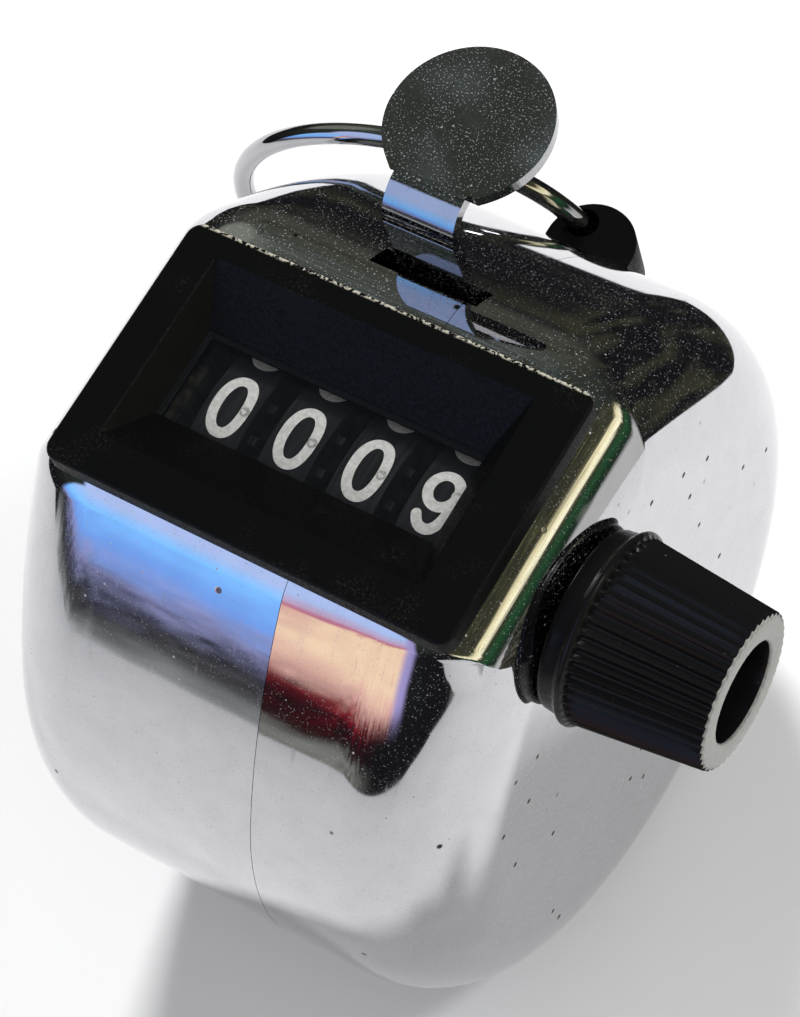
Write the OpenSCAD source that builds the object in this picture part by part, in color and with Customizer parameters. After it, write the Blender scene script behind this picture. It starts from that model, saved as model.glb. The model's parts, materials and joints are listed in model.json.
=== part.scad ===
// Hand tally counter: pressed steel case, four number wheels, thumb lever, reset knob and finger ring.
// Millimetres. X runs along the wheel shaft towards the knob, +Y points to the lever and ring side, +Z is up
// out of the display. The origin is the middle of the small flat under the case.

/* [Case] */
// Width of the case between its two flat sides
case_w = 34; // [33.6:0.1:36]
// Radius of the round part that lies in the palm
palm_r = 23.94; // [23.5:0.02:25]
// Thickness of the pressed sheet
sheet_t = 0.7; // [0.5:0.05:0.9]
// Rounding between the round wall and the flat sides
side_round = 7.2; // [6:0.1:8]
// Half width of the flat that the case stands on
foot_half = 6; // [4:0.5:7]
// X of the seam between the two case halves
seam_x = 3.9; // [2:0.1:6]

/* [Display] */
// Length of the bezel along the shaft
bezel_w = 28; // [27.5:0.1:28.2]
// Width of the bezel across the shaft
bezel_d = 17.26; // [17:0.02:17.6]
// How far the bezel stands proud of the case
bezel_t = 1.43; // [1.2:0.01:1.8]
// Length of the window
window_w = 19.3; // [18:0.1:19.6]
// Width of the window
window_d = 6.1; // [5.6:0.1:6.4]
// Depth of the window below the bezel's face
window_depth = 2; // [1.6:0.1:2.2]

/* [Number wheels] */
// Height of the wheel shaft above the base
shaft_z = 38.9; // [38.8:0.05:39]
// Distance between neighbouring wheels
wheel_pitch = 4.79; // [4.75:0.01:4.85]
// Radius of the printed rim
rim_r = 8.2; // [8:0.05:8.25]
// Radius of the wheel shaft
shaft_r = 1.5; // [1.3:0.05:1.6]
// Radial play of everything that turns on a shaft
play = 0.05; // [0.03:0.01:0.08]

/* [Reset knob] */
// Radius of the knob's shoulder
shoulder_r = 6.22; // [6:0.02:6.4]
// Radius of the knob's outer end
knob_end_r = 5.01; // [4.8:0.01:5.2]
// X of the knob's end face
knob_end_x = 27.65; // [26:0.05:29]

/* [Thumb lever] */
// Radius of the round thumb pad
pad_r = 5.1; // [4.8:0.05:5.4]
// Height of the pad's upper face
pad_z = 55.2; // [54.5:0.1:56]
// Width of the lever's stem
stem_w = 4.8; // [4.4:0.1:5]
// Thickness of the lever's sheet
lever_t = 0.8; // [0.7:0.05:0.9]
// Travel of the lever
lever_stroke = 4.5; // [4:0.1:4.5]

/* [Finger ring] */
// Radius of the ring at the middle of its wire
ring_r = 12.85; // [12:0.05:14]
// Radius of the ring's wire
ring_wire_r = 0.72; // [0.6:0.02:0.8]

/* [Hidden] */
$fn = 64;
eps = 0.01;
// case outline in the YZ plane
palm_z = sqrt(palm_r * palm_r - foot_half * foot_half);
land_z = 48.63;
front_round = 4;
back_round = 5;
front_y = -9;
back_y = 7;
lip_len = 2;
// display
face_z = land_z + bezel_t;
bezel_x = 0.9;
bezel_y = -2.17;
skirt_w = 24.4;
skirt_d = 14.4;
skirt_bottom = 47;
window_x = 0.45;
window_y = -1.92;
window_z = face_z - window_depth;
lens_t = 0.6;
lens_w = 21.5;
lens_d = 8.4;
funnel_w = 22.07;
funnel_d = 12.76;
funnel_x = 0.58;
funnel_y = -1.71;
// wheel train
shaft_y = -2.3;
units_x = 8.67;
rim_w = 3.3;
gear_w = 0.55;
gear_teeth = 20;
gear_tip_r = 7.45;
gear_root_r = 6.25;
pinion_teeth = 8;
pinion_tip_r = 3.3;
pinion_root_r = 2.05;
pinion_hub_r = 1.9;
pinion_shaft_r = 0.8;
centre_gap = 9.8;
pinion_z = shaft_z - centre_gap;
carry_disc_r = 5.9;
carry_tip_r = 7.2;
step = 36;
ratchet_tip_r = 6.6;
ratchet_root_r = 5.6;
ratchet_w = 0.68;
ratchet_x = units_x + rim_w / 2;
// movement frame
plate_t = 0.8;
left_plate_x = -9.9;
right_plate_x = 11.5;
plate_front = -11.6;
plate_back = 9;
plate_low = 23.5;
plate_high = 45.6;
posts = [[-10, 31, 1.2], [-6.5, 25.6, 1.2], [3, 25.6, 1.2], [7.4, 44.2, 0.9]];
standoffs = [[-7.2, 37.4], [6.4, 33.5]];
tab_rivet = [8, 29.4];
tab_t = 0.8;
// lever
stem_x = 1.3;
stem_y = 10.3;
pad_x = 1.25;
pad_y = 16.7;
neck_w = 4.75;
bend_r = 1.9;
slide_x0 = -1.1;
slide_x1 = 10.6;
slide_top = 43.2;
// bottom of the lever's slide when it is pressed, and at rest
slide_pressed = 22.5;
slide_low = slide_pressed + lever_stroke;
slot_x0 = -2.8;
slot_x1 = 4.7;
guide_y = 11.1;
guide_low = 14;
guide_high = 39;
spring_x = 5.2;
spring_y = 8.3;
spring_r = 2;
spring_wire = 0.25;
spring_turns = 7;
// pawls
pawl_t = 0.5;
pawl_x = 10.45;
drive_pin = [8, 33];
stop_pin = [-10.5, 34.2];
// ring and its lug
ring_centre = [-11.8, 22.1, 25.2];
ring_yaw = 14.45;
ring_lean = 2.9;
lug_turn = 12;
lug_x = 1.2;
lug_y = 23.6;
lug_z = 27.9;
lug_r = 3.1;
lug_h = 4.4;
lug_hole_r = 1.06;
lug_rivet_x = 2.9;
lug_rivet_r = 0.7;

// ---------- helpers ----------
// round bar along X between two X positions
module bar_x(x0, x1, r, at) {
    translate([x0, at[0], at[1]]) rotate([0, 90, 0]) cylinder(h = x1 - x0, r = r);
}
// plate drawn in Y and Z, extruded along X
module plate_x(x0, x1) {
    translate([x0, 0, 0]) rotate([90, 0, 90]) linear_extrude(x1 - x0) children();
}
// one round of the case outline, moved inwards by the inset
function inset_corner(y, z, r, side, inset) = let (extra = max(0, inset - r))
    [y - side * extra, z - extra, max(r - inset, 0.05)];
function outline_rounds(inset) = [
    [0, palm_z, palm_r - inset],
    inset_corner(front_y, land_z - front_round, front_round, -1, inset),
    inset_corner(back_y, land_z - back_round, back_round, 1, inset)];
// solid drum with rounded sides, everywhere inset from the outer skin
module drum(inset) {
    reach = side_round - inset;
    intersection() {
        hull() for (a = [0:15:90]) for (c = outline_rounds(inset + reach * (1 - cos(a))))
            bar_x(-case_w / 2 + side_round - reach * sin(a), case_w / 2 - side_round + reach * sin(a),
                c[2], c, $fn = 48);
        translate([-40, -40, inset]) cube(80);
    }
}
module half_space(x0, x1) {
    translate([x0, -45, -5]) cube([x1 - x0, 90, 90]);
}
// every opening that is cut through the case wall
module case_openings() {
    translate([bezel_x - skirt_w / 2 - 0.1, bezel_y - skirt_d / 2 - 0.1, 40])
        cube([skirt_w + 0.2, skirt_d + 0.2, 20]);
    translate([slot_x0, stem_y - lever_t / 2 - 0.35, 40])
        cube([slot_x1 - slot_x0, lever_t + 0.7, 20]);
    bar_x(case_w / 2 - 2, case_w / 2 + 1, shaft_r + 0.1, [shaft_y, shaft_z]);
    lug_rivet_bar(18, 30, lug_rivet_r);
}
// bar along the lug's rivet, from and to a distance from the palm's axis
module lug_rivet_bar(from, to, r) {
    translate([lug_rivet_x, 0, palm_z]) rotate([atan2(lug_z - palm_z, palm_r), 0, 0])
        rotate([-90, 0, 0]) translate([0, 0, from]) cylinder(h = to - from, r = r);
}

// ---------- case ----------
module case_left() {
    color("silver") difference() {
        // outer skin up to the seam, and the lip that slides under the right half
        union() {
            intersection() {
                drum(0);
                half_space(-case_w, seam_x);
            }
            intersection() {
                drum(sheet_t + 0.02);
                half_space(-case_w, seam_x + lip_len);
            }
        }
        // the hollow, narrower where the lip is
        drum(sheet_t + 0.42);
        intersection() {
            drum(sheet_t);
            half_space(-case_w, seam_x - lip_len);
        }
        case_openings();
    }
}
module case_right() {
    color("silver") difference() {
        intersection() {
            drum(0);
            half_space(seam_x, case_w);
        }
        drum(sheet_t);
        case_openings();
    }
}

// ---------- display ----------
module funnel_solid() {
    hull() {
        translate([funnel_x - funnel_w / 2, funnel_y - funnel_d / 2, face_z])
            cube([funnel_w, funnel_d, eps]);
        translate([window_x - window_w / 2, window_y - window_d / 2, window_z])
            cube([window_w, window_d, eps]);
    }
}
module rounded_block(w, d, h, r) {
    linear_extrude(h) union() {
        square([w - 2 * r, d], center = true);
        square([w, d - 2 * r], center = true);
        for (x = [-1, 1]) for (y = [-1, 1])
            translate([x * (w / 2 - r), y * (d / 2 - r)]) circle(r);
    }
}
module bezel() {
    color([0.05, 0.05, 0.05]) difference() {
        union() {
            translate([bezel_x, bezel_y, land_z]) rounded_block(bezel_w, bezel_d, bezel_t, 1);
            translate([bezel_x, bezel_y, skirt_bottom])
                rounded_block(skirt_w, skirt_d, land_z - skirt_bottom + eps, 0.5);
        }
        funnel_solid();
        // window and the pocket of the lens
        translate([window_x - window_w / 2, window_y - window_d / 2, 46]) cube([window_w, window_d, 4]);
        translate([window_x - lens_w / 2 - 0.02, window_y - lens_d / 2 - 0.02, 46])
            cube([lens_w + 0.04, lens_d + 0.04, window_z - 46]);
        // underside follows the rounded front and side edges of the case
        bezel_relief();
    }
}
// drum cut out from under the overhanging rim of the bezel
module bezel_relief() {
    difference() {
        drum(0);
        translate([bezel_x - skirt_w / 2, bezel_y - skirt_d / 2, 40]) cube([skirt_w, skirt_d, 20]);
    }
}
module window_lens() {
    color([0.8, 0.85, 0.9, 0.35])
        translate([window_x - lens_w / 2, window_y - lens_d / 2, window_z - lens_t])
            cube([lens_w, lens_d, lens_t]);
}

// ---------- movement frame ----------
module plate_outline() {
    intersection() {
        translate([plate_front, plate_low]) square([plate_back - plate_front, plate_high - plate_low]);
        translate([(plate_front + plate_back) / 2, (plate_low + plate_high) / 2]) circle(14.4);
    }
}
module side_plate(x) {
    difference() {
        plate_x(x, x + plate_t) plate_outline();
        bar_x(x - 1, x + 2, shaft_r + play, [shaft_y, shaft_z]);
        bar_x(x - 1, x + 2, pinion_shaft_r, [shaft_y, pinion_z]);
        for (p = posts) bar_x(x - 1, x + 2, p[2] * 0.6, p);
        bar_x(x - 1, x + 2, 0.5, tab_rivet);
    }
}
module frame_left_plate() {
    color([0.72, 0.66, 0.5]) difference() {
        side_plate(left_plate_x);
        for (s = standoffs) bar_x(left_plate_x - 1, left_plate_x + 2, 0.8, s);
    }
}
module frame_right_plate() {
    color([0.72, 0.66, 0.5]) difference() {
        side_plate(right_plate_x);
        bar_x(right_plate_x - 1, right_plate_x + 2, 0.5, stop_pin);
    }
}
// spacers between the plates, with riveted ends
module frame_posts() {
    color([0.7, 0.7, 0.68]) for (p = posts) union() {
        bar_x(left_plate_x + plate_t, right_plate_x, p[2], p);
        bar_x(left_plate_x - 0.3, right_plate_x + plate_t + 0.3, p[2] * 0.6, p);
        bar_x(left_plate_x - 0.3, left_plate_x, p[2] * 0.9, p);
        bar_x(right_plate_x + plate_t, right_plate_x + plate_t + 0.3, p[2] * 0.9, p);
    }
}
// threaded spacers welded to the left side of the case
module frame_standoffs() {
    color([0.7, 0.7, 0.68]) for (s = standoffs) difference() {
        bar_x(-case_w / 2 + sheet_t, left_plate_x, 1.7, s);
        bar_x(-case_w / 2 + sheet_t + 1, left_plate_x + 1, 0.8, s);
    }
}
module frame_screws() {
    color([0.75, 0.75, 0.75]) for (s = standoffs) difference() {
        union() {
            bar_x(left_plate_x - 4, left_plate_x + plate_t, 0.8, s);
            bar_x(left_plate_x + plate_t, left_plate_x + plate_t + 0.6, 1.4, s);
        }
        translate([left_plate_x + plate_t + 0.3, s[0] - 2, s[1] - 0.2]) cube([1, 4, 0.4]);
    }
}

// ---------- shaft and knob ----------
module reset_shaft() {
    color([0.8, 0.8, 0.8]) difference() {
        bar_x(left_plate_x - 2, knob_end_x - 4.2, shaft_r, [shaft_y, shaft_z]);
        // groove that picks the wheels up on reset
        translate([-8, shaft_y - 0.3, shaft_z + shaft_r - 0.5]) cube([19, 0.6, 1]);
        // groove of the clip
        difference() {
            bar_x(left_plate_x - 1.2, left_plate_x - 0.7, shaft_r + 1, [shaft_y, shaft_z]);
            bar_x(left_plate_x - 2, left_plate_x, shaft_r - 0.3, [shaft_y, shaft_z]);
        }
    }
}
module ring_x(x0, x1, r_in, r_out, at) {
    difference() {
        bar_x(x0, x1, r_out, at);
        bar_x(x0 - 1, x1 + 1, r_in, at);
    }
}
module shaft_collar() {
    color([0.75, 0.7, 0.5]) ring_x(-8.75, -8.05, shaft_r, 2.6, [shaft_y, shaft_z]);
}
module shaft_clip() {
    color([0.3, 0.3, 0.32]) difference() {
        ring_x(left_plate_x - 1.18, left_plate_x - 0.72, shaft_r - 0.3, 2.7, [shaft_y, shaft_z]);
        translate([left_plate_x - 2, shaft_y - 0.8, shaft_z - 4]) cube([2, 1.6, 4]);
    }
}
// dished washer between the right plate and the case side
module spring_washer() {
    color([0.75, 0.75, 0.72]) translate([right_plate_x + plate_t + 0.1, shaft_y, shaft_z])
        rotate([0, 90, 0]) rotate_extrude()
            polygon([[shaft_r, 0.8], [3.4, 0], [3.4, 0.3], [shaft_r, 1.1]]);
}
module reset_knob() {
    collar_x = case_w / 2 + 0.15;
    color([0.04, 0.04, 0.04]) translate([0, shaft_y, shaft_z]) rotate([0, 90, 0]) difference() {
        rotate_extrude($fn = 96) polygon([
            [0, collar_x], [5.2, collar_x], [5.46, collar_x + 0.25], [5.46, collar_x + 1.2],
            [5.9, collar_x + 1.35], [shoulder_r, collar_x + 1.5], [shoulder_r, collar_x + 1.75],
            [5.95, collar_x + 2], [knob_end_r, knob_end_x - 0.15], [knob_end_r - 0.25, knob_end_x],
            [0, knob_end_x]]);
        // deep round recess in the end
        translate([0, 0, knob_end_x - 5]) cylinder(h = 6, r = 3.25);
        // press-fitted shaft
        translate([0, 0, 0]) cylinder(h = knob_end_x - 4.2, r = shaft_r);
    }
}

// ---------- number wheels ----------
// tooth that points along +X of the drawing
module tooth(root, tip, root_w, tip_w) {
    polygon([[root - 0.3, -root_w / 2], [tip, -tip_w / 2], [tip, tip_w / 2], [root - 0.3, root_w / 2]]);
}
module gear_outline(teeth, root, tip, root_w, tip_w, turn) {
    union() {
        circle(root);
        for (i = [0:teeth - 1]) rotate(turn + i * 360 / teeth) tooth(root, tip, root_w, tip_w);
    }
}
// drawing plane of the wheels: +X of the drawing is down, +Y of the drawing is +Y
module wheel_slice(x0, x1) {
    translate([x0, shaft_y, shaft_z]) rotate([0, 90, 0]) linear_extrude(x1 - x0) children();
}
// carry_at is the angle of the carry finger from straight down, or undef for none
module number_wheel(index, carry_at) {
    xc = units_x - index * wheel_pitch;
    color([0.08, 0.08, 0.08]) difference() {
        union() {
            wheel_slice(xc - rim_w / 2, xc + rim_w / 2) circle(rim_r, $fn = 96);
            if (index > 0) wheel_slice(xc + rim_w / 2 - eps, xc + rim_w / 2 + gear_w)
                gear_outline(gear_teeth, gear_root_r, gear_tip_r, 1.15, 0.55, 180 / gear_teeth);
            if (index < 3) wheel_slice(xc - rim_w / 2 - gear_w, xc - rim_w / 2 + eps) union() {
                circle(carry_disc_r);
                rotate(carry_at) tooth(carry_disc_r, carry_tip_r, 1.1, 0.8);
            }
        }
        bar_x(xc - 5, xc + 5, shaft_r + play, [shaft_y, shaft_z]);
    }
}
module number_wheel_units() { number_wheel(0, 18); }
module number_wheel_tens() { number_wheel(1, -18); }
module number_wheel_hundreds() { number_wheel(2, -18); }
module number_wheel_thousands() { number_wheel(3, -18); }
// ten-tooth ratchet; its radial faces look up on the lever side
module units_ratchet() {
    lean = 18;
    color([0.75, 0.72, 0.6]) difference() {
        plate_x(ratchet_x, ratchet_x + ratchet_w) translate([shaft_y, shaft_z]) polygon([
            for (i = [0:9]) for (s = [0:1])
                let (a = i * step + lean, r = s == 0 ? ratchet_tip_r : ratchet_root_r)
                [r * cos(a + s * 0.6), r * sin(a + s * 0.6)]]);
        bar_x(ratchet_x - 1, ratchet_x + 2, shaft_r + play, [shaft_y, shaft_z]);
    }
}

// ---------- transfer pinions ----------
// eight teeth on the higher wheel's side, every second one carried over to the lower wheel's side
module transfer_pinion(index) {
    gap0 = units_x - index * wheel_pitch + rim_w / 2;
    gap1 = gap0 + wheel_pitch - rim_w;
    color([0.85, 0.8, 0.6]) difference() {
        union() {
            translate([gap0 + 0.07, shaft_y, pinion_z]) rotate([0, 90, 0]) linear_extrude(0.62)
                gear_outline(pinion_teeth, pinion_root_r, pinion_tip_r, 0.95, 0.5, 0);
            translate([gap1 - 0.69, shaft_y, pinion_z]) rotate([0, 90, 0]) linear_extrude(0.62)
                gear_outline(pinion_teeth / 2, pinion_root_r, pinion_tip_r, 0.95, 0.5, 0);
            bar_x(gap0 + 0.07, gap1 - 0.07, pinion_hub_r, [shaft_y, pinion_z]);
        }
        bar_x(gap0 - 1, gap1 + 1, pinion_shaft_r + play, [shaft_y, pinion_z]);
    }
}
module transfer_pinion_tens() { transfer_pinion(1); }
module transfer_pinion_hundreds() { transfer_pinion(2); }
module transfer_pinion_thousands() { transfer_pinion(3); }
module pinion_shaft() {
    color([0.8, 0.8, 0.8]) bar_x(left_plate_x - 0.4, right_plate_x + plate_t + 0.4, pinion_shaft_r,
        [shaft_y, pinion_z]);
}

// ---------- thumb lever ----------
// side view of the bent sheet, from the pad's rear edge down to the slide
module lever_bend() {
    top = pad_z - bend_r;
    plate_x(stem_x - stem_w / 2, stem_x + stem_w / 2) union() {
        translate([stem_y - lever_t / 2, slide_top - 1]) square([lever_t, top - slide_top + 1 + eps]);
        translate([stem_y - lever_t / 2 + bend_r, top]) intersection() {
            difference() {
                circle(bend_r);
                circle(bend_r - lever_t);
            }
            translate([-bend_r, 0]) square([bend_r, bend_r]);
        }
        translate([stem_y - lever_t / 2 + bend_r - eps, pad_z - lever_t]) square([3, lever_t]);
    }
}
module thumb_lever() {
    neck_y = stem_y - lever_t / 2 + bend_r;
    color("silver") difference() {
        union() {
            translate([pad_x, pad_y, pad_z - lever_t]) cylinder(h = lever_t, r = pad_r, $fn = 96);
            translate([stem_x - neck_w / 2, neck_y, pad_z - lever_t]) cube([neck_w, pad_y - neck_y, lever_t]);
            lever_bend();
            // slide inside the case
            translate([slide_x0, stem_y - lever_t / 2, slide_low])
                cube([slide_x1 - slide_x0, lever_t, slide_top - slide_low]);
            // foot that the return spring pushes on
            translate([spring_x - 2.4, spring_y - 2.4, slide_low])
                cube([4.8, stem_y - spring_y + 2.4, lever_t]);
            // lug that carries the drive pawl's pin
            translate([9.3, drive_pin[0] - 1.4, drive_pin[1] - 2])
                cube([0.8, stem_y - drive_pin[0] + 1.4, 4]);
        }
        translate([spring_x, spring_y, slide_low - 1]) cylinder(h = 3, r = 1.35);
        bar_x(9, 11, 0.5, drive_pin);
    }
}
// bent plate behind the slide: guides it and carries the spring's lower end
module lever_guide() {
    x0 = left_plate_x - tab_t;
    x1 = right_plate_x + plate_t;
    color([0.72, 0.66, 0.5]) difference() {
        union() {
            translate([x0, guide_y, guide_low]) cube([x1 + tab_t - x0, plate_t, guide_high - guide_low]);
            // tabs that lap onto the outer faces of the side plates
            for (x = [x0, x1]) translate([x, plate_back - 2.5, tab_rivet[1] - 1.8])
                cube([tab_t, guide_y - plate_back + 2.5 + eps, 3.6]);
            // side rails of the slide
            for (x = [slide_x0 - 0.7, slide_x1 + 0.1]) translate([x, stem_y - 0.5, 30])
                cube([0.6, guide_y - stem_y + 0.5 + eps, 8]);
            // seat of the spring
            translate([spring_x - 3, spring_y - 3, guide_low])
                cube([6, guide_y - spring_y + 3 + eps, plate_t]);
        }
        translate([spring_x, spring_y, guide_low - 1]) cylinder(h = 3, r = 0.7);
        for (x = [x0, x1]) bar_x(x - 1, x + 2, 0.5, tab_rivet);
    }
}
module guide_rivets() {
    color([0.7, 0.7, 0.68]) for (x = [left_plate_x - tab_t, right_plate_x]) union() {
        bar_x(x, x + plate_t + tab_t, 0.5, tab_rivet);
        bar_x(x - 0.25, x, 0.9, tab_rivet);
        bar_x(x + plate_t + tab_t, x + plate_t + tab_t + 0.25, 0.9, tab_rivet);
    }
}
// open coil swept along a helix, with flat ends
module coil(r, wire, turns, low, high) {
    steps = 20;
    sides = 8;
    n = turns * steps;
    rise = high - low - 2 * wire;
    points = [for (i = [0:n]) let (a = i * 360 / steps, z = low + wire + rise * i / n)
        for (j = [0:sides - 1]) let (b = j * 360 / sides)
            [(r + wire * cos(b)) * cos(a), (r + wire * cos(b)) * sin(a), z + wire * sin(b)]];
    walls = [for (i = [0:n - 1]) for (j = [0:sides - 1])
        [i * sides + j, i * sides + (j + 1) % sides, (i + 1) * sides + (j + 1) % sides, (i + 1) * sides + j]];
    first = [[for (j = [sides - 1:-1:0]) j]];
    last = [[for (j = [0:sides - 1]) n * sides + j]];
    polyhedron(points, concat(first, walls, last), convexity = 8);
}
module lever_return_spring() {
    color([0.75, 0.75, 0.75]) translate([spring_x, spring_y, 0])
        coil(spring_r, spring_wire, spring_turns, guide_low + plate_t, slide_low);
}
module spring_post() {
    color([0.7, 0.7, 0.68]) translate([spring_x, spring_y, 0]) union() {
        translate([0, 0, guide_low - 0.3]) cylinder(h = 7.5, r = 0.7);
        translate([0, 0, guide_low + plate_t]) cylinder(h = 6.4, r = 1.2);
        translate([0, 0, guide_low - 0.6]) cylinder(h = 0.6, r = 1.2);
    }
}

// ---------- pawls ----------
module drive_pawl() {
    color([0.72, 0.72, 0.7]) difference() {
        plate_x(pawl_x, pawl_x + pawl_t) union() {
            translate(drive_pin) circle(1.3);
            polygon([[drive_pin[0] - 1.3, drive_pin[1]], [drive_pin[0] + 1.2, drive_pin[1]],
                [6.6, 42.4], [4.1, 42.6], [3.8, 41.7], [4.9, 41.6], [5.2, 40.4]]);
        }
        bar_x(pawl_x - 1, pawl_x + 2, 0.5 + play, drive_pin);
    }
}
module drive_pawl_pin() {
    color([0.8, 0.8, 0.8]) union() {
        bar_x(9.3, 11.25, 0.5, drive_pin);
        bar_x(11, 11.25, 0.9, drive_pin);
        bar_x(9, 9.3, 0.8, drive_pin);
    }
}
// hairpin coil around a pawl's pin
module hairpin(x0, length, pin, r) {
    translate([x0, pin[0], pin[1]]) rotate([0, 90, 0]) coil(r, 0.09, 1, 0, length);
}
module drive_pawl_spring() {
    color([0.75, 0.75, 0.75]) hairpin(10.12, 0.3, drive_pin, 0.75);
}
module stop_pawl() {
    color([0.72, 0.72, 0.7]) difference() {
        plate_x(pawl_x, pawl_x + pawl_t) union() {
            translate(stop_pin) circle(1.2);
            polygon([[stop_pin[0] - 1.1, stop_pin[1]], [stop_pin[0] + 0.9, stop_pin[1] + 0.8],
                [-8.05, 39.9], [-7.95, 40.45], [-8.6, 40.6]]);
        }
        bar_x(pawl_x - 1, pawl_x + 2, 0.5 + play, stop_pin);
    }
}
module stop_pawl_pin() {
    color([0.8, 0.8, 0.8]) union() {
        bar_x(10.2, right_plate_x + plate_t + 0.2, 0.5, stop_pin);
        bar_x(10.2, 10.4, 0.9, stop_pin);
    }
}
module stop_pawl_spring() {
    color([0.75, 0.75, 0.75]) hairpin(11.05, 0.36, stop_pin, 0.75);
}

// ---------- finger ring ----------
module in_ring_frame() {
    translate(ring_centre) rotate([0, 0, ring_yaw]) rotate([ring_lean, 0, 0]) children();
}
module finger_ring() {
    color("silver") in_ring_frame() rotate([90, 0, 0]) rotate_extrude($fn = 96)
        translate([ring_r, 0]) circle(ring_wire_r, $fn = 24);
}
// straight bore where the ring's wire passes through the lug
module wire_bore() {
    in_ring_frame() rotate([0, -lug_turn, 0]) translate([ring_r, 0, -8]) cylinder(h = 16, r = lug_hole_r);
}
module ring_lug() {
    color([0.05, 0.05, 0.05]) difference() {
        translate([lug_x, lug_y, lug_z - lug_h / 2]) union() {
            cylinder(h = lug_h, r = lug_r);
            translate([-lug_r, -4, 0]) cube([2 * lug_r, 4, lug_h]);
        }
        bar_x(-20, 20, palm_r, [0, palm_z]);
        wire_bore();
        lug_rivet_bar(20, palm_r + 1.3, lug_rivet_r);
    }
}
// goes through the wall and the seam's lip
module lug_rivet() {
    inner = palm_r - sheet_t - 0.5;
    color([0.7, 0.7, 0.68]) union() {
        lug_rivet_bar(inner, palm_r + 1.2, lug_rivet_r);
        lug_rivet_bar(inner - 0.6, inner, 1.3);
    }
}

case_left();
case_right();
bezel();
window_lens();
frame_left_plate();
frame_right_plate();
frame_posts();
frame_standoffs();
frame_screws();
reset_shaft();
shaft_collar();
shaft_clip();
spring_washer();
reset_knob();
number_wheel_units();
number_wheel_tens();
number_wheel_hundreds();
number_wheel_thousands();
units_ratchet();
transfer_pinion_tens();
transfer_pinion_hundreds();
transfer_pinion_thousands();
pinion_shaft();
thumb_lever();
lever_guide();
guide_rivets();
lever_return_spring();
spring_post();
drive_pawl();
drive_pawl_pin();
drive_pawl_spring();
stop_pawl();
stop_pawl_pin();
stop_pawl_spring();
ring_lug();
lug_rivet();
finger_ring();
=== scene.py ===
"""Hand tally counter: the looks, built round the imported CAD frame.

The scene is in metres. Shapes are written in millimetres, and new_piece turns them into metres.
"""

import json
import math

import bpy
from mathutils import Matrix, Vector


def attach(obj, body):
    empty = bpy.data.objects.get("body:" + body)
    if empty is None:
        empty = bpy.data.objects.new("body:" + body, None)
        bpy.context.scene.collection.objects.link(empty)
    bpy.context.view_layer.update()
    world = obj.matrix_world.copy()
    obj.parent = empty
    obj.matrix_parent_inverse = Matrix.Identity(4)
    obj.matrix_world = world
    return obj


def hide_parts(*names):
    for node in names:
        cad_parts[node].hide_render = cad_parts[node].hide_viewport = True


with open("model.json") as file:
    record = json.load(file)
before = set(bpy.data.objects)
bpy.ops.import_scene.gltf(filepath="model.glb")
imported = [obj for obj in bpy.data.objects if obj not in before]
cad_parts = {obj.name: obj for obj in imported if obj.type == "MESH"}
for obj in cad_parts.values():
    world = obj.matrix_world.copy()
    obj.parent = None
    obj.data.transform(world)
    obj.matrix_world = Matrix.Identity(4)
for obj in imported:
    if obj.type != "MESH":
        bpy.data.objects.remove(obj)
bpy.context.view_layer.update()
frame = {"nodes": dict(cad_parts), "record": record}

MM = 0.001
NODES = frame["nodes"]

# ---------- sizes shared with the CAD model, in millimetres ----------
CASE_HALF_W = 17.0
SHEET = 0.7
SIDE_ROUND = 7.2
PALM_R = 23.94
FOOT_HALF = 6.0
PALM_Z = math.sqrt(PALM_R**2 - FOOT_HALF**2)
LAND_Z = 48.63
FRONT_CORNER = (-9.0, 4.0)  # y of the centre, radius
BACK_CORNER = (7.0, 5.0)
FLANK_R = 54.0
SEAM_X = 3.9
SHAFT = (-2.3, 38.9)  # y and z of the wheel shaft
RIM_R = 8.2  # of the number wheels
UNITS_X = 8.67
WHEEL_PITCH = 4.79


# ---------- mesh helpers ----------
def new_piece(name, verts_mm, faces, smooth=True):
    """A mesh object from vertices in millimetres."""
    mesh = bpy.data.meshes.new(name)
    mesh.from_pydata([Vector(v) * MM for v in verts_mm], [], faces)
    mesh.update()
    for polygon in mesh.polygons:
        polygon.use_smooth = smooth
    piece = bpy.data.objects.new(name, mesh)
    bpy.context.scene.collection.objects.link(piece)
    return piece


def sharpen(piece, degrees):
    """Edges bent by more than this many degrees shade as sharp."""
    piece.data.set_sharp_from_angle(angle=math.radians(degrees))


def add_bevel(piece, width_mm, segments=2, degrees=40, weld=False):
    """Rounds the sharp edges a little, so that they catch the light."""
    if weld:
        merge = piece.modifiers.new("merge", "WELD")
        merge.merge_threshold = 0.002 * MM
    bevel = piece.modifiers.new("edges", "BEVEL")
    bevel.width = width_mm * MM
    bevel.segments = segments
    bevel.limit_method = "ANGLE"
    bevel.angle_limit = math.radians(degrees)
    bevel.harden_normals = True


def grid_faces(rows, columns, close_rows=False):
    """Quads of a grid whose vertices are stored row by row."""
    last = rows if close_rows else rows - 1
    return [
        (
            i * columns + j,
            ((i + 1) % rows) * columns + j,
            ((i + 1) % rows) * columns + j + 1,
            i * columns + j + 1,
        )
        for i in range(last)
        for j in range(columns - 1)
    ]


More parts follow.
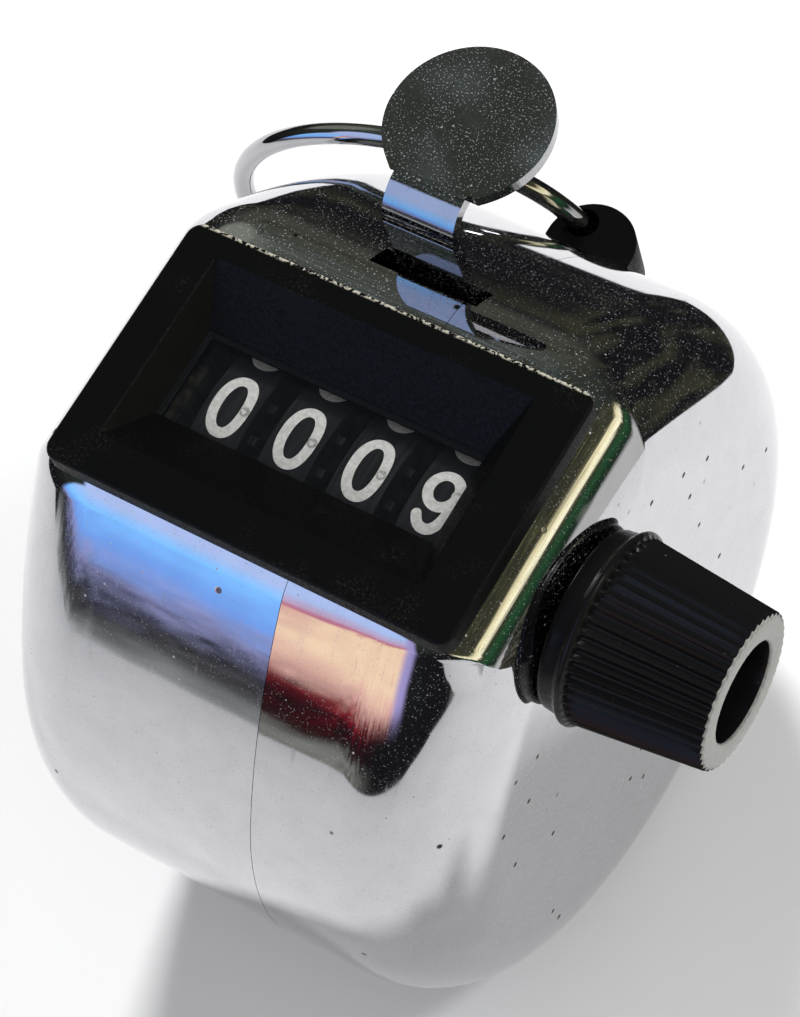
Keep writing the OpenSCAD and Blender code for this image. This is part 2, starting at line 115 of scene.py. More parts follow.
# ---------- material helpers ----------
class Shader:
    """A Principled material that is put together node by node, in the object's own coordinates."""

    def __init__(self, name):
        self.material = bpy.data.materials.new(name)
        self.material.use_nodes = True
        self.tree = self.material.node_tree
        self.principled = self.tree.nodes["Principled BSDF"]
        self.place = self.node("ShaderNodeTexCoord").outputs["Object"]

    def node(self, kind, **settings):
        made = self.tree.nodes.new(kind)
        for key, value in settings.items():
            setattr(made, key, value)
        return made

    def link(self, source, target):
        self.tree.links.new(source, target)

    def set(self, **sockets):
        """Sets plain values on the shader's own sockets: base_color=..., roughness=..."""
        for key, value in sockets.items():
            self.principled.inputs[SOCKETS[key]].default_value = value
        return self

    def noise(self, size_mm, detail=3.0, stretch=None, distortion=0.0):
        """Noise whose blobs are about size_mm across."""
        source = self.place
        if stretch:
            mapping = self.node("ShaderNodeMapping")
            mapping.inputs["Scale"].default_value = stretch
            self.link(source, mapping.inputs["Vector"])
            source = mapping.outputs["Vector"]
        texture = self.node("ShaderNodeTexNoise")
        texture.inputs["Scale"].default_value = 1 / (size_mm * MM)
        texture.inputs["Detail"].default_value = detail
        texture.inputs["Distortion"].default_value = distortion
        self.link(source, texture.inputs["Vector"])
        return texture.outputs["Fac"]

    def specks(self, cell_mm, radius, share):
        """1 in small round spots: one in each cell of a share of the cells."""
        texture = self.node("ShaderNodeTexVoronoi", feature="F1")
        texture.inputs["Scale"].default_value = 1 / (cell_mm * MM)
        self.link(self.place, texture.inputs["Vector"])
        near = self.ramp(texture.outputs["Distance"], radius, radius * 0.5)
        pick = self.node("ShaderNodeSeparateColor")
        self.link(texture.outputs["Color"], pick.inputs["Color"])
        chosen = self.ramp(pick.outputs["Red"], 1 - share, 1 - share + 0.02)
        return self.math("MULTIPLY", near, chosen)

    def ramp(self, value, low, high, to_low=0.0, to_high=1.0):
        """value mapped smoothly from low..high to to_low..to_high."""
        mapped = self.node("ShaderNodeMapRange", interpolation_type="SMOOTHSTEP")
        if low > high:
            low, high, to_low, to_high = high, low, to_high, to_low
        limits = {"From Min": low, "From Max": high, "To Min": to_low, "To Max": to_high}
        for key, number in limits.items():
            mapped.inputs[key].default_value = number
        self.link(value, mapped.inputs["Value"])
        return mapped.outputs["Result"]

    def math(self, operation, a, b):
        made = self.node("ShaderNodeMath", operation=operation)
        for socket, value in zip(made.inputs, (a, b)):
            if isinstance(value, (int, float)):
                socket.default_value = value
            else:
                self.link(value, socket)
        return made.outputs["Value"]

    def mix(self, factor, a, b):
        """Colour a where factor is 0 and b where it is 1."""
        made = self.node("ShaderNodeMix", data_type="RGBA")
        self.link(factor, made.inputs["Factor"])
        colour_in = [s for s in made.inputs if s.type == "RGBA"]
        for socket, value in zip(colour_in, (a, b)):
            if isinstance(value, tuple):
                socket.default_value = (*value, 1.0)
            else:
                self.link(value, socket)
        return [s for s in made.outputs if s.type == "RGBA"][0]

    def colour(self, value):
        self.link(value, self.principled.inputs["Base Color"])

    def roughness(self, value):
        self.link(value, self.principled.inputs["Roughness"])

    def bump(self, height, depth_mm, strength=1.0, after=None):
        """Height 0..1 becomes a relief of depth_mm."""
        made = self.node("ShaderNodeBump")
        made.inputs["Strength"].default_value = strength
        made.inputs["Distance"].default_value = depth_mm * MM
        self.link(height, made.inputs["Height"])
        if after:
            self.link(after, made.inputs["Normal"])
        self.link(made.outputs["Normal"], self.principled.inputs["Normal"])
        return made.outputs["Normal"]


SOCKETS = {
    "base_color": "Base Color",
    "metallic": "Metallic",
    "roughness": "Roughness",
    "alpha": "Alpha",
    "specular": "Specular IOR Level",
}
PIT_RUST = (0.045, 0.035, 0.03)
# pale colour of the bezel's rear top edge: chip wear and a painted highlight
WORN_AND_HIGHLIGHT_PALE = (0.42, 0.40, 0.33)
WEAR_AND_HIGHLIGHT_FADE_MM = 0.15


def chrome(name, scuffed=0.5, pitted=0.5, tone=0.565):
    """Polished chrome plate: faint orange peel, fine scuffs, specks worn dull, dust and a few rusty pits.
    tone is the plate's grey."""
    s = Shader(name)
    haze = s.noise(2.2, detail=5.0, distortion=0.6)
    scratches = s.noise(0.5, detail=6.0, stretch=(1.0, 0.12, 0.12))
    scuffs = s.math("MULTIPLY", s.ramp(scratches, 0.60, 0.72), s.ramp(haze, 0.42, 0.62))
    pits = s.specks(1.9, 0.14, 0.13 * pitted)
    dust = s.specks(0.6, 0.16, 0.10 * scuffed)
    specks = s.ramp(s.noise(0.12, detail=2.0), 0.70 - 0.12 * scuffed, 0.80 - 0.12 * scuffed)
    worn = s.math("MULTIPLY", specks, s.ramp(haze, 0.30, 0.50, 0.25, 1.0))
    plated = s.ramp(s.math("MAXIMUM", worn, dust), 0.0, 1.0, 1.0, 0.45)
    s.link(plated, s.principled.inputs["Metallic"])
    plate = s.mix(s.ramp(haze, 0.3, 0.75), (tone, tone, 1.04 * tone), (0.94 * tone, 0.94 * tone, 0.98 * tone))
    s.colour(s.mix(pits, plate, PIT_RUST))
    rough = s.ramp(haze, 0.3, 0.8, 0.04, 0.065)
    rough = s.math("ADD", rough, s.math("MULTIPLY", scuffs, 0.16 * scuffed))
    rough = s.math("ADD", rough, s.math("MULTIPLY", dust, 0.35))
    s.roughness(s.math("ADD", rough, s.math("MULTIPLY", pits, 0.5)))
    peel = s.bump(s.noise(3.0, detail=0.0), 0.0015, 0.3)
    s.bump(s.math("SUBTRACT", s.math("MULTIPLY", dust, 0.25), pits), 0.02, 0.5, after=peel)
    return s.material


def grained_black(name, wear_and_highlight_rim_mm=None):
    """Moulded black plastic with a fine leathery grain, rubbed lighter in places.
    What lies behind and above the given rim point (y, z) turns pale in chip-like patches: partly chip wear,
    partly a painted highlight."""
    s = Shader(name).set(specular=0.14)
    grain = s.noise(0.16, detail=4.0)
    rubbed = s.math("MULTIPLY", s.ramp(s.noise(3.0, detail=5.0), 0.52, 0.75), s.ramp(grain, 0.5, 0.7))
    worn = s.math("MULTIPLY", rubbed, 0.35)
    colour = s.mix(worn, (0.0022, 0.0022, 0.0022), (0.035, 0.034, 0.028))
    # chip wear and painted highlight: the rim's rear top edge is coloured pale in patches
    if wear_and_highlight_rim_mm:
        along = s.node("ShaderNodeSeparateXYZ")
        s.link(s.place, along.inputs["Vector"])
        chips_and_highlight = s.ramp(s.noise(0.22, detail=3.0), 0.46, 0.56)
        for axis, start in zip("YZ", wear_and_highlight_rim_mm):
            past = s.ramp(along.outputs[axis], start * MM, (start + WEAR_AND_HIGHLIGHT_FADE_MM) * MM)
            chips_and_highlight = s.math("MULTIPLY", chips_and_highlight, past)
        colour = s.mix(chips_and_highlight, colour, WORN_AND_HIGHLIGHT_PALE)
    s.colour(colour)
    s.roughness(s.ramp(grain, 0.3, 0.7, 0.42, 0.66))
    s.bump(grain, 0.03, 0.7)
    return s.material


def gloss_black(name):
    """Glossy black moulding with flow marks and a little dust."""
    s = Shader(name).set(specular=0.16)
    flow = s.noise(1.8, detail=3.0, stretch=(0.35, 1.0, 1.0))
    dust = s.math("MULTIPLY", s.specks(0.35, 0.2, 0.08), s.ramp(flow, 0.4, 0.6))
    s.colour(s.mix(dust, (0.006, 0.006, 0.0065), (0.07, 0.07, 0.065)))
    s.roughness(s.math("ADD", s.ramp(flow, 0.3, 0.7, 0.22, 0.36), s.math("MULTIPLY", dust, 0.4)))
    s.bump(s.noise(0.3, detail=3.0), 0.01, 0.4)
    return s.material


def grey_end_face(name):
    """The knob's end face: mid grey, mottled lighter and darker, and matt."""
    s = Shader(name).set(specular=0.5)
    mottle = s.noise(0.35, detail=5.0)
    s.colour(s.mix(s.ramp(mottle, 0.3, 0.7), (0.26, 0.26, 0.235), (0.38, 0.38, 0.35)))
    s.roughness(s.ramp(mottle, 0.3, 0.7, 0.32, 0.5))
    s.bump(mottle, 0.02, 0.5)
    return s.material


def wheel_black(name):
    """Matt black wheel with fine turning lines round the rim."""
    s = Shader(name).set(specular=0.3)
    lines = s.noise(0.18, detail=2.0, stretch=(1.0, 0.03, 0.03))
    s.colour(s.mix(s.ramp(lines, 0.35, 0.7), (0.006, 0.0062, 0.0065), (0.016, 0.016, 0.017)))
    s.roughness(s.ramp(lines, 0.3, 0.7, 0.4, 0.62))
    s.bump(lines, 0.008, 0.5)
    return s.material


def numeral_white(name):
    """Off-white printing ink with slightly uneven cover."""
    s = Shader(name).set(specular=0.3)
    cover = s.noise(0.25, detail=4.0)
    s.colour(s.mix(s.ramp(cover, 0.3, 0.7), (0.50, 0.50, 0.48), (0.66, 0.66, 0.63)))
    s.roughness(s.ramp(cover, 0.3, 0.7, 0.5, 0.7))
    s.bump(cover, 0.006, 0.4)
    return s.material


def metal(name, light, dark, size_mm, stretch, rough=(0.25, 0.45), bump_mm=0.004):
    """Rolled, turned or drawn metal: streaks of two tones along one direction."""
    s = Shader(name).set(metallic=1.0)
    streaks = s.noise(size_mm, detail=5.0, stretch=stretch)
    stains = s.noise(4.0, detail=4.0, distortion=1.0)
    s.colour(s.mix(s.math("MULTIPLY", s.ramp(streaks, 0.3, 0.7), s.ramp(stains, 0.2, 0.7)), dark, light))
    s.roughness(s.ramp(streaks, 0.25, 0.75, *rough))
    s.bump(streaks, bump_mm, 0.5)
    return s.material


def nylon(name):
    """Cream nylon with soft mottling."""
    s = Shader(name).set(specular=0.4)
    cloud = s.noise(0.8, detail=3.0)
    s.colour(s.mix(s.ramp(cloud, 0.3, 0.7), (0.62, 0.55, 0.38), (0.74, 0.68, 0.52)))
    s.roughness(s.ramp(cloud, 0.3, 0.7, 0.35, 0.5))
    s.bump(s.noise(0.15), 0.005, 0.4)
    return s.material


def clear_lens(name):
    """Clear plastic: nearly all light goes straight through, the rest shines."""
    s = Shader(name).set(base_color=(0.02, 0.025, 0.03, 1.0), alpha=0.10, specular=0.5)
    smear = s.noise(3.0, detail=4.0, distortion=1.5)
    s.roughness(s.ramp(smear, 0.35, 0.75, 0.03, 0.14))
    s.bump(s.noise(0.9), 0.002, 0.3)
    return s.material


def pale_floor(name):
    """Matt pale studio floor with a barely visible cloudiness."""
    s = Shader(name).set(specular=0.2)
    cloud = s.noise(60.0, detail=2.0)
    s.colour(s.mix(s.ramp(cloud, 0.3, 0.7), (0.93, 0.93, 0.93), (0.95, 0.95, 0.95)))
    s.set(roughness=0.75)
    return s.material


CHROME = chrome("chrome_case", scuffed=0.7, pitted=0.9)
# the lever's chrome has a darker grey than the case's: painted shade, which darkens all it mirrors
CHROME_PAD_SHADED = chrome("chrome_lever_shaded", scuffed=1.0, pitted=0.15, tone=0.38)
CHROME_WIRE = chrome("chrome_wire", scuffed=0.3, pitted=0.1, tone=0.46)
GRAINED = grained_black("black_grained")
# the bezel's rear top edge gets pale chip wear and a painted highlight
GRAINED_BEZEL = grained_black("black_bezel", wear_and_highlight_rim_mm=(6.14, 49.75))
GLOSS = gloss_black("black_gloss")
KNOB_END = grey_end_face("knob_end_grey")
WHEEL = wheel_black("black_wheel")
INK = numeral_white("numeral_ink")
LENS = clear_lens("lens_clear")
FINISHES = {
    "chrome_plate": CHROME,
    "black_grained_plastic": GRAINED,
    "black_gloss_plastic": GLOSS,
    "black_wheel_plastic": WHEEL,
    "clear_lens": LENS,
    "passivated_steel": metal("yellow_steel", (0.72, 0.62, 0.38), (0.52, 0.46, 0.34), 0.5, (1.0, 1.0, 0.1)),
    "bare_steel": metal("bare_steel", (0.62, 0.62, 0.62), (0.42, 0.42, 0.43), 0.3, (1.0, 0.15, 0.15)),
    "spring_steel": metal("spring_steel", (0.40, 0.41, 0.44), (0.24, 0.24, 0.26), 0.2, (1.0, 1.0, 0.4)),
    "brass_collar": metal("turned_brass", (0.80, 0.62, 0.28), (0.60, 0.45, 0.20), 0.2, (1.0, 0.1, 0.1)),
    "cream_nylon": nylon("cream_nylon"),
}


def finish_piece(piece, material, body, *replaced, slot=None):
    """Gives a new piece its material and its body, and hides the CAD nodes it stands for."""
    if material:
        piece.data.materials.append(material)
    if replaced:
        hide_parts(*replaced)
    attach(piece, body)
    return piece


# ---------- case shells ----------
def corner_round(y, r, side, inset):
    """Centre and radius of a top corner of the case outline, moved in by inset."""
    extra = max(0.0, inset - r)
    return (y - side * extra, LAND_Z - r - extra), max(r - inset, 0.05)


def flank(palm_r, centre, r, side, inset):
    """Centre, radius, first and last angle of the slightly swollen flank between the palm round and a corner.
    Its arc touches both rounds."""
    flank_r = FLANK_R - inset
    dy, dz = centre[0], centre[1] - PALM_Z
    apart = math.hypot(dy, dz)
    a, b = flank_r - palm_r, flank_r - r
    along = (a * a - b * b + apart * apart) / (2 * apart)
    across = math.sqrt(max(0.0, a * a - along * along))
    uy, uz = dy / apart, dz / apart
    middle = (along * uy - side * across * uz, PALM_Z + along * uz + side * across * uy)
    if side * middle[0] > 0:
        middle = (along * uy + side * across * uz, PALM_Z + along * uz - side * across * uy)
    palm_angle = math.atan2(PALM_Z - middle[1], -middle[0])
    corner_angle = math.atan2(centre[1] - middle[1], centre[0] - middle[0])
    return middle, flank_r, palm_angle, corner_angle


# where the lever's slot and the window opening begin and end, along the outline and in x
SLOT_LOW, SLOT_HIGH = ("back_line", 0.9486), ("back_corner", 0.356)
OPENING_BACK, OPENING_FRONT = ("land", 0.117), ("front_corner", 0.1255)
SLOT_X = (-2.8, 4.7)
OPENING_X = (-11.4, 13.2)
STATIONS = {
    "palm_back": [i / 40 for i in range(40)],
    "back_line": [0, 0.15, 0.3, 0.45, 0.6, 0.75, 0.87, 0.9486],
    "back_corner": [0, 0.09, 0.18, 0.27, 0.356, 0.44, 0.53, 0.62, 0.72, 0.82, 0.91],
    "land": [0, 0.06, 0.117, 0.25, 0.4, 0.55, 0.7, 0.85, 0.95],
    "front_corner": [0, 0.0628, 0.1255, 0.2, 0.3, 0.4, 0.5, 0.6, 0.7, 0.8, 0.9],
    "front_line": [0, 0.12, 0.25, 0.4, 0.55, 0.7, 0.85],
    "palm_front": [i / 40 for i in range(40)],
    "foot": [0, 0.25, 0.5, 0.75],
}
ROWS = [(part, t) for part, ts in STATIONS.items() for t in ts]


def outline(inset):
    """Points (y, z) of the case outline moved in by inset, one for each entry of ROWS."""
    palm_r = PALM_R - inset
    back, back_r = corner_round(*BACK_CORNER, 1, inset)
    front, front_r = corner_round(*FRONT_CORNER, -1, inset)
    back_flank = flank(palm_r, back, back_r, 1, inset)
    front_flank = flank(palm_r, front, front_r, -1, inset)
    drop = max(-1.0, -(PALM_Z - min(inset, SHEET)) / palm_r)
    foot_angle = math.asin(drop)

    def on(centre, r, angle):
        return (centre[0] + r * math.cos(angle), centre[1] + r * math.sin(angle))

    def between(p, q, t):
        return (p[0] + (q[0] - p[0]) * t, p[1] + (q[1] - p[1]) * t)

    palm = (0.0, PALM_Z)
    up = math.pi / 2
    points = []
    for part, t in ROWS:
        if part == "palm_back":
            points.append(on(palm, palm_r, foot_angle + (back_flank[2] - foot_angle) * t))
        elif part == "back_line":
            points.append(on(*back_flank[:2], back_flank[2] + (back_flank[3] - back_flank[2]) * t))
        elif part == "back_corner":
            points.append(on(back, back_r, back_flank[3] + (up - back_flank[3]) * t))
        elif part == "land":
            points.append(between(on(back, back_r, up), on(front, front_r, up), t))
        elif part == "front_corner":
            points.append(on(front, front_r, up + (front_flank[3] - up) * t))
        elif part == "front_line":
            points.append(on(*front_flank[:2], front_flank[3] + (front_flank[2] - front_flank[3]) * t))
        elif part == "palm_front":
            end = math.pi - foot_angle
            points.append(on(palm, palm_r, front_flank[2] + (end - front_flank[2]) * t))
        else:
            front_end, back_end = on(palm, palm_r, math.pi - foot_angle), on(palm, palm_r, foot_angle)
            points.append(between(front_end, back_end, t))
    return points


def side_columns(side, special):
    """(x, inset) down the rounded side of the case, from the middle outwards."""
    angles = sorted({*[i * 3.75 for i in range(1, 25)], special})
    turns = [math.radians(a) for a in angles]
    flat = CASE_HALF_W - SIDE_ROUND
    return [(side * (flat + SIDE_ROUND * math.sin(a)), SIDE_ROUND * (1 - math.cos(a))) for a in turns]


SEAM_PINCH = 0.035  # millimetres per millimetre away from the seam


def pinch(row, x):
    """How far the front of the right half stands back from the left half's, growing from the seam."""
    part, t = ROWS[row]
    weights = {"front_corner": max(0.0, 2 * t - 1), "front_line": 1.0, "palm_front": max(0.0, 1 - 2 * t)}
    return SEAM_PINCH * weights.get(part, 0.0) * max(0.0, x - SEAM_X)


def shell(name, columns, cap_hole, skip):
    """Half of the case as a sheet of even thickness.

    columns are (x, inset), and the flat side caps the last one. cap_hole is the centre and radius of the
    hole in the flat side. skip(row, x, next x) says which quads are open.
    """
    rows = len(ROWS)
    side = math.copysign(1, columns[-1][0])
    outside, inside = [], []
    for x, inset in columns:
        outside.append([(x, y + pinch(row, x), z) for row, (y, z) in enumerate(outline(inset))])
        turn = math.acos(max(-1.0, 1 - inset / SIDE_ROUND))
        reach = SIDE_ROUND - SHEET
        x_in = x if inset == 0 else side * (CASE_HALF_W - SIDE_ROUND + reach * math.sin(turn))
        walls = outline(SHEET + reach * (1 - math.cos(turn)))
        inside.append([(x_in, y + pinch(row, x_in), z) for row, (y, z) in enumerate(walls)])
    centre, hole_r = cap_hole
    for layer in (outside, inside):
        edge = layer[-1]
        for t in (0.04, 0.12, 0.3, 0.6, 1.0):  # share of the way from the rounded side to the hole
            ring = []
            for x, y, z in edge:
                away = Vector((y - centre[0], z - centre[1]))
                target = Vector(centre) + away.normalized() * hole_r
                ring.append((x, y + (target[0] - y) * t, z + (target[1] - z) * t))
            layer.append(ring)
    verts = [p for layer in (outside, inside) for column in layer for p in column]
    count = len(outside)
    offset = count * rows
    faces = []
    for c in range(count - 1):
        for r in range(rows):
            after = (r + 1) % rows
            if c < len(columns) - 1 and skip(r, columns[c][0], columns[c + 1][0]):
                continue
            faces.append((c * rows + r, c * rows + after, (c + 1) * rows + after, (c + 1) * rows + r))
    # a dict, unlike a set, keeps the edges in order
    edges = dict.fromkeys(edge for quad in faces for edge in zip(quad, quad[1:] + quad[:1]))
    rims = [(b, a, a + offset, b + offset) for a, b in edges if (b, a) not in edges]
    faces = faces + [tuple(v + offset for v in reversed(quad)) for quad in faces] + rims
    if side < 0:
        faces = [tuple(reversed(f)) for f in faces]
    piece = new_piece(name, verts, faces)
    sharpen(piece, 50)
    return piece


def open_quad(r, x0, x1):
    """True where the case is cut: the window opening and the lever's slot."""
    middle = (x0 + x1) / 2
    in_slot = ROWS.index(SLOT_LOW) <= r < ROWS.index(SLOT_HIGH) and SLOT_X[0] < middle < SLOT_X[1]
    in_window = (
        ROWS.index(OPENING_BACK) <= r < ROWS.index(OPENING_FRONT) and OPENING_X[0] < middle < OPENING_X[1]
    )
    return in_slot or in_window


SEAM_GAP = 0.02
LEFT_CAP = ((-1.0, 24.0), 0.02)  # y, z and radius of a hole so small that the left side is closed
RIGHT_CAP = (SHAFT, 1.6)
left_columns = [(x, 0.0) for x in (SEAM_X - SEAM_GAP, 3.6, 2.4, 0.8, -1.0, -2.8, -4.5, -6.3, -8.1, -9.8)]
left_columns += side_columns(-1, 12.84)
right_columns = [(x, 0.0) for x in (SEAM_X + SEAM_GAP, 4.7, 6.0, 7.4, 8.6, 9.8)]
right_columns += side_columns(1, 28.18)
left_half = shell("case_shell_left", left_columns, LEFT_CAP, open_quad)
finish_piece(left_half, CHROME, "case_and_frame", "case_left")
right_half = shell("case_shell_right", right_columns, RIGHT_CAP, open_quad)
finish_piece(right_half, CHROME, "case_and_frame", "case_right")


# ---------- bezel ----------
def rounded_loop(x0, x1, y0, y1, r, z, steps=6):
    """Rectangle with rounded corners at height z, always with the same number of points."""
    points = []
    centres = ((x1 - r, y1 - r), (x0 + r, y1 - r), (x0 + r, y0 + r), (x1 - r, y0 + r))
    for (cx, cy), first in zip(centres, (0, 90, 180, 270)):
        for i in range(steps + 1):
            a = math.radians(first + 90 * i / steps)
            points.append((cx + r * math.cos(a), cy + r * math.sin(a), z))
    return points


def loft(name, loops):
    """A skin through loops of equal point counts, which all run counter-clockwise."""
    n = len(loops[0])
    verts = [p for loop in loops for p in loop]
    faces = [
        (k * n + i, k * n + (i + 1) % n, (k + 1) * n + (i + 1) % n, (k + 1) * n + i)
        for k in range(len(loops) - 1)
        for i in range(n)
    ]
    return new_piece(name, verts, faces)


def bezel():
    """Black frame with rounded rim edges, a sloping funnel and a thin wall down to the lens."""
    top, bottom, edge_r = 50.06, 47.0, 0.22
    # each rectangle is x from, x to, y from, y to
    rim = (-13.1, 14.9, -10.8, 6.46)
    funnel = (-10.45, 11.62, -8.09, 4.67)
    window = (-9.2, 10.1, -4.97, 1.13)

    def grown(rect, d, r, z):
        return rounded_loop(rect[0] - d, rect[1] + d, rect[2] - d, rect[3] + d, r, z)

    skirt = (-11.3, 13.1, -9.37, 5.03)
    loops = [grown(window, 0.6, 0.2, bottom), grown(skirt, 0, 0.5, bottom), grown(skirt, 0, 0.5, LAND_Z)]
    loops += [grown(rim, -0.06, 0.94, LAND_Z), grown(rim, 0, 1.0, LAND_Z + 0.06)]
    loops += [grown(rim, 0, 1.0, top - edge_r)]
    for a in (0.4, 0.8, 1.2, 1.571):  # radians round the rim's outer edge
        loops.append(grown(rim, -edge_r * (1 - math.cos(a)), 1.0, top - edge_r * (1 - math.sin(a))))
    loops += [grown(rim, -0.5, 0.7, top), grown(funnel, 0.5, 0.5, top), grown(funnel, 0.10, 0.3, top)]
    loops += [grown(funnel, 0.03, 0.25, top - 0.03), grown(funnel, -0.04, 0.2, top - 0.12)]
    loops += [grown(window, 0.06, 0.12, 48.14), grown(window, 0.0, 0.1, 48.06), grown(window, 0, 0.1, 47.98)]
    # a ledge on the left and the back of the window
    for inward, z in ((0.05, 47.95), (0.28, 47.94), (0.33, 47.90), (0.33, 47.62)):
        loops.append(rounded_loop(window[0] + inward, window[1], window[2], window[3] - inward, 0.1, z))
    piece = loft("bezel_frame", loops)
    sharpen(piece, 35)
    return piece


finish_piece(bezel(), GRAINED_BEZEL, "case_and_frame", "bezel")


# ---------- thumb lever ----------
SLIDE_TOP = 43.2  # where the visible strip goes over into the slide inside the case


def thumb_lever():
    """One bent strip of sheet: stem, bend, neck and round pad, each station with its own half width."""
    half, thick, bend_r, blend = 2.4, 0.8, 2.1, 0.9
    stem_y, pad_z, pad_y, pad_r, x_mid = 10.3, 55.2, 16.7, 5.1, 1.3
    path = []  # centre line (y, z, half width, x of the middle)
    for i in range(9):
        path.append((stem_y, SLIDE_TOP + (pad_z - thick / 2 - bend_r - SLIDE_TOP) * i / 8, half, x_mid))
    for i in range(1, 11):
        a = math.radians(9 * i)
        y, z = stem_y + bend_r * (1 - math.cos(a)), pad_z - thick / 2 - bend_r * (1 - math.sin(a))
        path.append((y, z, half, x_mid))
    start = stem_y + bend_r
    for i in range(1, 61):
        turn = math.pi * i / 60
        y = start + (pad_y + pad_r - start) * (1 - math.cos(turn)) / 2
        disc = math.sqrt(max(0.0, pad_r**2 - (y - pad_y) ** 2))
        neck = half if y < pad_y else 0
        if y > pad_y or abs(disc - neck) > 4 * blend:
            width = max(disc, neck)
        else:  # a smooth change from the neck to the round pad
            width = (disc + neck + math.sqrt((disc - neck) ** 2 + blend**2)) / 2 - 0.05
        path.append((y, pad_z - thick / 2, min(max(width, 0.02), pad_r), x_mid - 0.05))
    across = 16
    verts = []
    for y, z, w, x in path:
        for j in range(across + 1):
            verts.append((x + w * math.sin(math.pi * (j / across - 0.5)), y, z))
    piece = new_piece("thumb_lever_sheet", verts, grid_faces(len(path), across + 1))
    sheet = piece.modifiers.new("sheet", "SOLIDIFY")
    sheet.thickness = thick * MM
    sheet.offset = 0
    sheet.use_even_offset = True
    add_bevel(piece, 0.32, segments=4, degrees=50)
    return piece


def lever_slide():
    """Flat slide inside the case, with the spring foot and the pawl's lug."""
    boxes = [
        ((-1.1, 9.9, 27.0), (10.6, 10.7, SLIDE_TOP)),
        ((2.8, 5.9, 27.1), (7.6, 9.9, 27.8)),
        ((9.3, 6.6, 31.0), (10.1, 9.9, 35.0)),
    ]
    box_faces = ((0, 1, 3, 2), (4, 6, 7, 5), (0, 4, 5, 1), (2, 3, 7, 6), (0, 2, 6, 4), (1, 5, 7, 3))
    verts, faces = [], []
    for low, high in boxes:
        n = len(verts)
        verts += [(x, y, z) for x in (low[0], high[0]) for y in (low[1], high[1]) for z in (low[2], high[2])]
        faces += [tuple(n + k for k in face) for face in box_faces]
    piece = new_piece("thumb_lever_slide", verts, faces, smooth=False)
    add_bevel(piece, 0.12)
    return piece


finish_piece(thumb_lever(), CHROME_PAD_SHADED, "lever", "thumb_lever")
finish_piece(lever_slide(), FINISHES["bare_steel"], "lever", slot="bare_steel")


# ---------- reset knob ----------
def reset_knob():
    """Ribbed knob turned round the wheel shaft. Each profile entry is x, radius and depth of the flutes."""
    x0, end = CASE_HALF_W + 0.15, 27.65
    bore_r, recess_r, groove_depth = 1.55, 3.25, 0.32
    profile = [(x0, bore_r, 0), (x0, 5.5, 0), (x0 + 0.05, 5.66, 0), (x0 + 0.2, 5.74, 0), (x0 + 0.45, 5.77, 0)]
    profile += [(x0 + 1.1, 5.86, 0), (x0 + 1.25, 5.92, 0), (x0 + 1.35, 6.04, 0), (x0 + 1.45, 6.16, 0)]
    profile += [(x0 + 1.55, 6.22, 0), (x0 + 1.7, 6.22, 0), (x0 + 1.82, 6.15, 0), (x0 + 1.92, 5.98, 0.05)]
    ribs = 14
    for i in range(ribs + 1):
        t = i / ribs
        profile.append((x0 + 2.05 + (end - 0.2 - x0 - 2.05) * t, 5.93 - 0.9 * t, groove_depth))
    profile += [(end - 0.12, 4.97, 0.24), (end - 0.04, 4.88, 0.16), (end, 4.76, 0.10), (end, 4.4, 0.02)]
    profile += [(end, 4.1, 0), (end, 3.4, 0), (end - 0.04, 3.3, 0), (end - 0.15, recess_r, 0)]
    profile += [(end - 1.2 * i, recess_r, 0) for i in (1, 2, 3)]
    profile += [(end - 4.95, 3.2, 0), (end - 5.0, 3.0, 0), (end - 5.0, bore_r, 0)]
    flutes, per = 44, 8
    around = flutes * per
    verts = []
    for k in range(around):
        angle = 2 * math.pi * k / around
        wave = 0.5 - 0.5 * math.cos(2 * math.pi * k / per)
        groove = wave**0.7
        for x, r, depth in profile:
            rr = r - depth * groove
            verts.append((x, SHAFT[0] + rr * math.cos(angle), SHAFT[1] + rr * math.sin(angle)))
    faces = grid_faces(around, len(profile), close_rows=True)
    piece = new_piece("reset_knob_ribbed", verts, [tuple(reversed(f)) for f in faces])
    sharpen(piece, 55)
    piece.data.materials.append(GLOSS)
    piece.data.materials.append(KNOB_END)
    for polygon in piece.data.polygons:
        centre = polygon.center / MM
        radius = math.hypot(centre[1] - SHAFT[0], centre[2] - SHAFT[1])
        if centre[0] > end - 0.1 and radius > recess_r:
            polygon.material_index = 1
    return piece


finish_piece(reset_knob(), None, "reset", "reset_knob", slot="black_gloss_plastic")


# ---------- finger ring ----------
def finger_ring():
    """Wire ring, in the leaning plane in which it hangs from its lug."""
    ring_r, wire_r, around, sides = 12.85, 0.72, 180, 20
    place = Matrix.Translation((-11.8, 22.1, 25.2)) @ Matrix.Rotation(math.radians(14.45), 4, "Z")
    place = place @ Matrix.Rotation(math.radians(2.9), 4, "X")
    verts = []
    for i in range(around):
        a = 2 * math.pi * i / around
        for j in range(sides):
            b = 2 * math.pi * j / sides
            r = ring_r + wire_r * math.cos(b)
            verts.append(place @ Vector((r * math.cos(a), wire_r * math.sin(b), r * math.sin(a))))
    faces = []
    for i in range(around):
        here, ahead = i * sides, ((i + 1) % around) * sides
        for j in range(sides):
            beside = (j + 1) % sides
            faces.append((here + j, here + beside, ahead + beside, ahead + j))
    return new_piece("finger_ring_wire", verts, faces)


finish_piece(finger_ring(), CHROME_WIRE, "ring", "finger_ring")


# ---------- numerals ----------
def arc(cx, cy, rx, ry, start, stop, count=24, power=1.0):
    """Points along part of an ellipse; a power below 1 squares it off a little."""
    points = []
    for i in range(count + 1):
        a = math.radians(start + (stop - start) * i / count)
        c, s = math.cos(a), math.sin(a)
        across, up = math.copysign(abs(c) ** power, c), math.copysign(abs(s) ** power, s)
        points.append((cx + rx * across, cy + ry * up))
    return points


